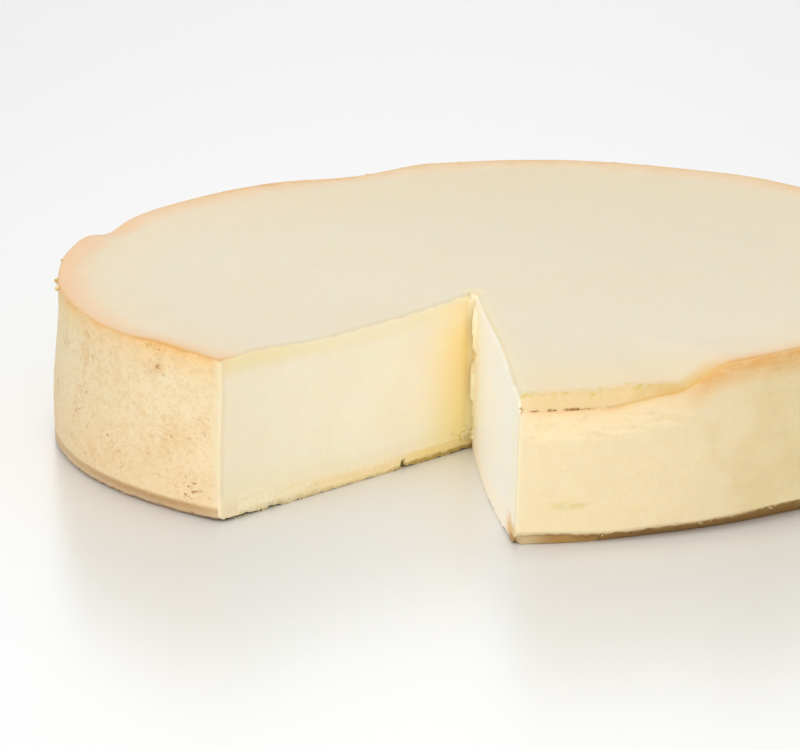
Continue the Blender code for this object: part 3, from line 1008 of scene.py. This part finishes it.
    # The slumped rim: a pale shoulder with yellow specks, gold towards its end
    shoulder = skin.times(skin.ease(inward, 9.0, 2.5), skin.ease(slumped, 0.35, 0.75))
    skin.lay(tint(233, 204, 148), shoulder, top, 0.7)
    specks = skin.ease(skin.noise(where, 2.0 * MM, shift=11.0, detail=3.0), 0.48, 0.60)
    specks = skin.times(specks, skin.ease(slumped, 0.2, 0.6), skin.between(inward, 2.5, 6.0, 1.5))
    patchy = skin.ease(skin.noise(where, 9.0 * MM, shift=17.0), 0.40, 0.60, 0.2, 0.8)
    skin.lay(tint(218, 192, 92), specks, patchy, skin.ease(bearing, 5, 12, 0.8, 1.25))
    gilded = skin.times(skin.between(bearing, 17.5, 26, 3), skin.ease(across, -10.0, -0.5, 0.0, 0.9))
    skin.lay(tint(228, 190, 118), gilded, top)

    # Its burnt line: broken beside the slice, and a wider golden one beyond
    beyond = skin.ease(bearing, 11.0, 13.5)
    dashes = [skin.between(bearing, low, high, 0.4) for low, high in ((0.9, 5.4), (6.4, 9.6))]
    breaks = skin.ease(skin.noise(where, 2.4 * MM, shift=9.0), 0.40, 0.54)
    breaks = skin.times(breaks, skin.ease(skin.math("MAXIMUM", *dashes), 0.0, 1.0, 0.4, 1.0))
    unbroken = skin.times(beyond, skin.ease(mottle, 0.3, 0.5, 0.5, 0.8))
    spread = skin.times(skin.between(across, -2.0, 0.2, 1.0), skin.ease(mottle, 0.4, 0.6, 0.1, 0.5))
    at_edge = skin.ease(skin.math("ABSOLUTE", across), 0.8, 0.2)
    at_edge = skin.math("MAXIMUM", at_edge, skin.times(beyond, spread))
    burnt = skin.over(tint(156, 100, 44), beyond, tint(218, 176, 96))
    line = skin.times(at_edge, skin.ease(slumped, 0.15, 0.5), 0.8)
    skin.lay(burnt, line, skin.math("MAXIMUM", breaks, unbroken))

    rough = skin.add(0.50, skin.times(mottle, 0.16), skin.times(side, 0.1))
    fine = skin.times(grain, skin.add(0.06, skin.times(plain, 0.08)))
    scales = skin.times(wrinkles, skin.add(0.04, skin.times(scaly, 0.10)))
    normal = skin.bump(skin.times(mottle, 0.25), fine, skin.times(pits, -0.12), scales)
    return skin.done(rough, normal, 0.35, 3.0 * MM, 0.35)


def cut_cheese():
    """The cut faces: creamy and close, yellower under the top, with painted warm light near the tip."""
    cut = Finish("cut_cheese", tint(255, 248, 233))
    where = cut.where
    inward, depth, from_tip = cut.lengths("inward", "depth", "from_tip")
    left_gap, right_gap = cut.lengths("left_gap", "right_gap")
    layer, height = cut.share("layer"), cut.height()
    on_left = cut.ease(cut.math("SUBTRACT", right_gap, left_gap), 0.0, 1.0)
    cloud = cut.noise(where, 18.0 * MM)
    grain = cut.noise(where, 0.8 * MM, shift=2.0, roughness=0.6)
    wipes = cut.noise(cut.stretched(1.0, 1.0, 0.12), 1.8 * MM, shift=4.0, detail=1.0)

    # The right cut, and over it the left one with its yellower upper edge
    cut.lay(tint(255, 245, 217), cut.ease(inward, 22.0, 4.0, 0.0, 0.6))
    # Painted shade: darker just under the top edge, to damp the highlight of the rounded edge
    cut.lay(tint(238, 226, 194), cut.ease(depth, 2.5, 0.0, 0.0, 0.7))
    creamy = cut.over(tint(252, 240, 218), cut.ease(cloud, 0.35, 0.7), tint(250, 236, 211))
    cut.lay(creamy, on_left)
    cut.lay(tint(240, 227, 196), cut.ease(inward, 30.0, 2.0), on_left, 0.45)
    band = cut.times(cut.ease(depth, 7.5, 2.0), cut.ease(inward, 60.0, 5.0, 0.35, 0.75))
    cut.lay(tint(243, 226, 172), band, on_left)
    rim = cut.ease(cut.add(inward, cut.times(depth, 1.6)), 8.0, 1.0)
    cut.lay(tint(242, 206, 140), rim, on_left, 0.6)
    cut.lay(tint(246, 230, 188), cut.ease(layer, 2.2, 1.0), on_left, 0.5)
    # Darker towards the outer side: painted shade that damps the highlight of the rounded corner, and
    # blends into the skin's colour
    cut.lay(tint(232, 216, 180), cut.ease(inward, 2.8, 0.2, 0.0, 0.8))

    # The legs outside the sponge: crumbly on the left, browned on the right, and darker brown at their
    # foot there as painted shade
    leg = cut.times(cut.ease(height, 8.0, 5.5), cut.ease(inward, 9.0, 6.5), on_left)
    flecks = cut.ease(grain, 0.5, 0.66, 0.0, 0.5)
    cut.lay(cut.over(tint(248, 233, 197), flecks, tint(236, 212, 160)), leg, 0.85)
    scorched = cut.times(cut.ease(inward, 16.0, 4.0), cut.ease(inward, 0.0, 1.5, 0.5, 0.9))
    scorched = cut.times(scorched, cut.ease(height, 6.5, 3.0))
    cut.lay(tint(228, 184, 122), scorched, cut.ease(on_left, 1.0, 0.0, 0.2, 1.0))
    # Painted shade: dark brown low on the right cut by the corner, like the shaded band under the foot
    below = cut.times(cut.ease(height, 2.9, 1.9), cut.ease(inward, 14.0, 3.0))
    cut.lay(tint(176, 134, 76), below, cut.ease(on_left, 1.0, 0.0))

    # Deep yellow near the tip, most of all on the left cut: painted warm light, as if bounced between
    # the cut faces and shone through them, lighter low down where the notch is most shaded
    tip = cut.ease(cut.add(from_tip, cut.times(cloud, 8.0)), 30.0, 5.0)
    tip = cut.times(tip, cut.ease(depth, 0.0, 14.0, 0.3, 0.8))
    glow_near_tip = cut.ease(from_tip, 9.0, 1.0, 0.2, 0.7)
    deep = cut.over(tint(255, 226, 146), cut.ease(height, 26.0, 8.0), tint(255, 233, 156))
    cut.lay(deep, tip, cut.math("MAXIMUM", on_left, glow_near_tip))
    cut.lay(tint(240, 220, 176), cut.ease(grain, 0.58, 0.75, 0.0, 0.15))
    rough = cut.add(0.42, cut.times(cloud, 0.2))
    crumbly = cut.times(grain, cut.add(0.06, cut.times(leg, 0.12)))
    normal = cut.bump(cut.times(wipes, 0.10), crumbly)
    return cut.done(rough, normal, cut.ease(layer, 1.0, 1.8, 0.0, 0.5), 4.0 * MM, 0.4)


def sponge_crumb():
    """The sponge: a close pale crumb, tan further in, and dark at its foot near the tip."""
    sponge = Finish("sponge_crumb")
    where = sponge.where
    layer = sponge.share("layer")
    inward, from_tip = sponge.lengths("inward", "from_tip")
    left_gap, right_gap = sponge.lengths("left_gap", "right_gap")
    on_right = sponge.ease(sponge.math("SUBTRACT", left_gap, right_gap), 0.0, 1.0)
    cloud = sponge.noise(where, 9.0 * MM)
    grain = sponge.noise(where, 0.9 * MM, shift=2.0, roughness=0.65)
    slanted = sponge.stretched(0.2, 0.2, 1.0, turn=(0.5, 0.5, 0.0))
    layers = sponge.noise(slanted, 1.5 * MM, shift=6.0, detail=1.0)
    about_tip = sponge.add(from_tip, sponge.times(cloud, 14.0))
    pale = sponge.ease(cloud, 0.4, 0.7)
    sponge.colour = sponge.over(tint(249, 236, 202), pale, tint(247, 229, 188))
    sponge.lay(tint(248, 222, 170), sponge.between(about_tip, 36.0, 72.0, 9.0), 0.7)
    inner = sponge.ease(about_tip, 44.0, 28.0)
    sponge.lay(tint(241, 216, 140), inner, 0.8)
    sponge.lay(tint(238, 214, 160), sponge.ease(layers, 0.5, 0.6, 0.0, 0.3))
    low = sponge.add(layer, sponge.times(grain, -0.45), sponge.times(inner, -0.15))
    low = sponge.times(sponge.ease(low, 0.12, -0.25), sponge.add(0.5, sponge.times(inner, 0.4)))
    sponge.lay(tint(164, 138, 66), low)
    sponge.lay(tint(232, 204, 146), sponge.ease(grain, 0.54, 0.7, 0.0, 0.3))
    # Painted shade: the pit is laid dark
    pit = sponge.between(from_tip, PIT_FROM / MM, PIT_TO / MM, PIT_FADE / MM)
    pit = sponge.times(pit, sponge.ease(on_right, 1.0, 0.0), sponge.ease(layer, 0.8, 0.4))
    sponge.lay(tint(112, 98, 36), pit, 0.85)
    meeting = sponge.ease(sponge.add(layer, sponge.times(cloud, 0.2)), 0.65, 1.1)
    sponge.lay(tint(249, 235, 202), meeting, sponge.ease(inner, 1.0, 0.0, 0.3, 0.9))
    sponge.lay(tint(253, 245, 228), on_right, 0.9)
    scorched = sponge.times(sponge.ease(inward, 10.0, 1.0), sponge.ease(layer, 1.0, 0.5, 0.3, 0.9))
    sponge.lay(tint(228, 184, 122), scorched, on_right)
    normal = sponge.bump(sponge.times(grain, 0.16), sponge.times(layers, 0.12))
    rough = sponge.add(0.75, sponge.times(grain, 0.15))
    return sponge.done(rough, normal, 0.0, 1.0 * MM, 0.2)


def crumb_finish(name, light, dark):
    """A crumb's finish: one colour going over into another, with a fine grain."""
    crumb = Finish(name, light)
    crumb.lay(dark, crumb.ease(crumb.noise(crumb.where, 1.6 * MM), 0.35, 0.65))
    grain = crumb.noise(crumb.where, 0.3 * MM, shift=2.0)
    rough = crumb.add(0.6, crumb.times(grain, 0.3))
    return crumb.done(rough, crumb.bump(crumb.times(grain, 0.08)), 0.5, 1.2 * MM, 0.3)


def floor_finish():
    """A plain pale floor with a faint unevenness."""
    floor = Finish("pale_floor", tint(229, 229, 227))
    floor.lay(tint(232, 232, 230), floor.noise(floor.where, 0.5, detail=1.0))
    normal = floor.bump(floor.times(floor.noise(floor.where, 4.0 * MM), 0.01))
    return floor.done(0.27, normal, 0.0, 1.0 * MM, 0.5)


# ---------------------------------------------------------------- crumbs


class Crumbs:
    """Where the crumbs of one kind lie, and how large each one is."""

    def __init__(self):
        self.points = []
        self.sizes = []

    def drop(self, size, x, y, height):
        self.points.append((x, y, height))
        self.sizes.append(size)

    def drop_round(self, size, bearing, radius, height):
        self.drop(size, radius * sin(bearing), -radius * cos(bearing), height)

    def piece(self, name):
        """An object of bare points that say how large their crumbs are."""
        mesh = bpy.data.meshes.new(name)
        mesh.from_pydata([tuple(point) for point in self.points], [], [])
        mesh.attributes.new("size", "FLOAT", "POINT").data.foreach_set("value", self.sizes)
        piece = bpy.data.objects.new(name, mesh)
        bpy.context.collection.objects.link(piece)
        return piece


def foot_crumbs(crumbs, chance):
    """Crumbs along the foot of the left cut, and clumps that hang on the foot on the right."""
    near, far = (0.02, 0.35), (0.62, 0.96)  # shares of the cut's length
    for _ in range(44):
        size = chance.uniform(0.25, 0.6) * MM
        along = CUT_LENGTH * chance.choice((chance.uniform(*near), chance.uniform(*far)))
        x, y = cut_point(LEFT, along, 0.0)
        aside = abs(chance.normal(0.0, 0.25 * MM)) - 0.1 * MM
        crumbs.drop(size, x + aside * cos(LEFT_CUT), y + aside * sin(LEFT_CUT), 0.35 * size)
    # (bearing in degrees, spread, how many, size of the largest in millimetres)
    clumps = (
        (11.1, 0.3, 2, 0.7),
        (23.5, 0.3, 5, 1.2),
        (33.7, 0.4, 7, 1.4),
        (29.0, 5.0, 22, 0.7),
        (64.0, 0.3, 4, 0.9),
    )
    for middle, spread, count, largest in clumps:
        for _ in range(count):
            size = chance.uniform(0.4, 1.0) * largest * MM
            bearing = radians(chance.normal(middle, spread))
            radius = RIM_RADIUS - chance.uniform(-0.3, 1.0) * MM
            height = float(foot_height(bearing)) + chance.uniform(-0.2, 0.9) * MM
            crumbs.drop_round(size, bearing, radius, height)


def rim_crumbs(crumbs, chance):
    """Flaked bits of skin that cling to the rim, most of them on the left."""
    # (bearing in degrees, spread, how many, size of the largest in millimetres)
    groups = ((-97, 0.8, 4, 1.4), (-85, 1.2, 6, 1.7), (-160, 22, 10, 0.9), (168, 14, 6, 0.9))
    for middle, spread, count, largest in groups:
        for _ in range(count):
            size = chance.uniform(0.4, 1.0) * largest * MM
            bearing = radians(chance.normal(middle, spread))
            radius = RIM_RADIUS + chance.uniform(0.0, 1.0) * (largest - 1.0) * MM
            below = chance.uniform(0.3, 2.5) * MM if largest > 1.0 else 0.3 * MM
            crumbs.drop_round(size, bearing, radius, float(rim_height(bearing)) - below)


def tip_crumbs(crumbs, chance):
    """Bits that hang on where the two cuts meet, most of them low down."""
    for _ in range(14):
        size = chance.uniform(0.5, 1.3) * MM
        along = chance.uniform(1.5, 5.0) * MM
        height = chance.uniform(6.0, 34.0) * MM
        crumbs.drop(size, *cut_point(RIGHT, along, height), height)
    for _ in range(26):
        size = chance.uniform(0.6, 1.3) * MM
        along = abs(chance.normal(0.0, 3.2)) * MM + 0.5 * MM
        height = BASE_THIN + chance.normal(0.3, 1.2) * MM
        crumbs.drop(size, *cut_point(LEFT, along, height), height)


def burnt_flakes(crumbs, chance):
    """Burnt flakes along the slumped rim."""
    for _ in range(40):
        size = chance.uniform(0.2, 0.5) * MM
        bearing = radians(chance.choice((chance.uniform(0.9, 5.4), chance.uniform(6.4, 9.8))))
        height = float(rim_height(bearing)) - 0.3 * MM
        crumbs.drop_round(size, bearing, RIM_RADIUS - 0.2 * MM, height)


# ---------------------------------------------------------------- the studio


# (name, place, what it shines at, width, power, colour)
LIGHTS = (
    ("key_light", (-1.5, -1.1, 1.1), (0.0, 0.0, 0.0), 1.3, 7.2, (1.0, 0.985, 0.95)),
    ("front_light", (-0.15, -1.7, 0.75), (0.0, 0.0, 0.0), 1.4, 12.5, (1.0, 0.985, 0.95)),
    ("back_light", (0.0, 1.3, 0.7), (0.0, 0.8, 0.0), 1.2, 4.6, (1.0, 1.0, 1.0)),
)
SKY_COLOUR = (0.97, 0.985, 1.0, 1.0)
SKY_STRENGTH = 0.71
FLOOR_HALF = 3.0
FLOOR_HEIGHT = -0.05 * MM

# The camera looks a little down, through a long lens, with the cake off to the right
CAMERA_AIM = (-30.09 * MM, 0.0, 14.44 * MM)
CAMERA_DISTANCE = 2.0
CAMERA_ELEVATION = radians(14.76)
CAMERA_ROLL = radians(-0.955)
CAMERA_LENS = 314.65  # focal length in millimetres, on a sensor 36 mm wide


def build_studio():
    """A pale floor, soft light from the front left, and the camera."""
    scene = bpy.context.scene
    scene.view_settings.view_transform = "Standard"

    mesh = bpy.data.meshes.new("studio_floor")
    corners = [(-1, -1), (1, -1), (1, 1), (-1, 1)]
    corners = [(x * FLOOR_HALF, y * FLOOR_HALF, FLOOR_HEIGHT) for x, y in corners]
    mesh.from_pydata(corners, [], [(0, 1, 2, 3)])
    mesh.materials.append(floor_finish())
    floor = bpy.data.objects.new("studio_floor", mesh)
    scene.collection.objects.link(floor)

    world = bpy.data.worlds.new("studio_world")
    world.use_nodes = True
    sky = world.node_tree.nodes["Background"].inputs
    sky["Color"].default_value = SKY_COLOUR
    sky["Strength"].default_value = SKY_STRENGTH
    scene.world = world

    for name, place, aim, size, power, colour in LIGHTS:
        light = bpy.data.lights.new(name, "AREA")
        light.shape = "DISK"
        light.size = size
        light.energy = power
        light.color = colour
        lamp = bpy.data.objects.new(name, light)
        lamp.location = place
        lamp.rotation_euler = (Vector(aim) - Vector(place)).to_track_quat("-Z", "Y").to_euler()
        lamp.visible_camera = False
        scene.collection.objects.link(lamp)

    forward = Vector((0.0, cos(CAMERA_ELEVATION), -sin(CAMERA_ELEVATION)))
    level = Vector((1.0, 0.0, 0.0))
    upright = level.cross(forward)
    right = level * cos(CAMERA_ROLL) + upright * sin(CAMERA_ROLL)
    up = upright * cos(CAMERA_ROLL) - level * sin(CAMERA_ROLL)
    turned = Matrix((right, up, -forward)).transposed().to_4x4()
    camera = bpy.data.objects.new("camera", bpy.data.cameras.new("camera"))
    camera.data.sensor_width = 36.0
    camera.data.lens = CAMERA_LENS
    camera.data.clip_start = 0.1
    camera.matrix_world = Matrix.Translation(Vector(CAMERA_AIM) - forward * CAMERA_DISTANCE) @ turned
    scene.collection.objects.link(camera)
    scene.camera = camera


# ---------------------------------------------------------------- the cake


def keep_inside(piece):
    """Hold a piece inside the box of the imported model."""
    low, high = CAD_BOX
    places = np.empty(len(piece.data.vertices) * 3, "f")
    piece.data.vertices.foreach_get("co", places)
    places = np.clip(places.reshape(-1, 3), low, high)
    piece.data.vertices.foreach_set("co", places.ravel())
    piece.data.update()


def finish_piece(piece, node=None):
    """Hold a finished piece inside the model's box, hang it on the root, and hide the part it stands
    for.
    """
    keep_inside(piece)
    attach(piece, "root")
    if node:
        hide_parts(node)


def build_cake():
    skin, cut, sponge = baked_skin(), cut_cheese(), sponge_crumb()
    cheese = grown(
        cheese_body(),
        cheese_relief(),
        dent_depth=0.35 * MM,
        dent_size=26.0 * MM,
        grain_depth=0.16 * MM,
        grain_size=2.2 * MM,
        crumble_depth=1.1 * MM,
        crumble_size=4.0 * MM,
        ragged=0.7 * MM,
        cut_edge=0.4 * MM,
        seed=0.0,
        skin=skin,
        cut=cut,
    )
    finish_piece(cheese, "cheese_filling")
    base = grown(
        sponge_layer(),
        sponge_relief(),
        crumb_depth=0.3 * MM,
        crumb_size=1.8 * MM,
        ragged=0.6 * MM,
        seed=0.0,
        sponge=sponge,
    )
    finish_piece(base, "sponge_base")

    pale = crumb_finish("pale_crumb", tint(252, 236, 182), tint(238, 214, 144))
    tan = crumb_finish("tan_crumb", tint(228, 206, 158), tint(206, 174, 116))
    burnt = crumb_finish("burnt_crumb", tint(184, 122, 62), tint(130, 80, 40))
    scatter = crumb_scatter()
    kinds = (
        ("foot_crumbs", foot_crumbs, tan, "sponge", 0.25),
        ("rim_crumbs", rim_crumbs, tan, "cheese", 0.4),
        ("tip_crumbs", tip_crumbs, pale, "cheese", 0.2),
        ("burnt_flakes", burnt_flakes, burnt, "cheese", 0.5),
    )
    for seed, (name, scatter_over, finish, slot, flatness) in enumerate(kinds):
        crumbs = Crumbs()
        scatter_over(crumbs, np.random.default_rng(seed))
        piece = crumbs.piece(name)
        grown(piece, scatter, knobbliness=0.9, flatness=flatness, seed=seed, finish=finish)
        finish_piece(piece)


build_cake()
build_studio()
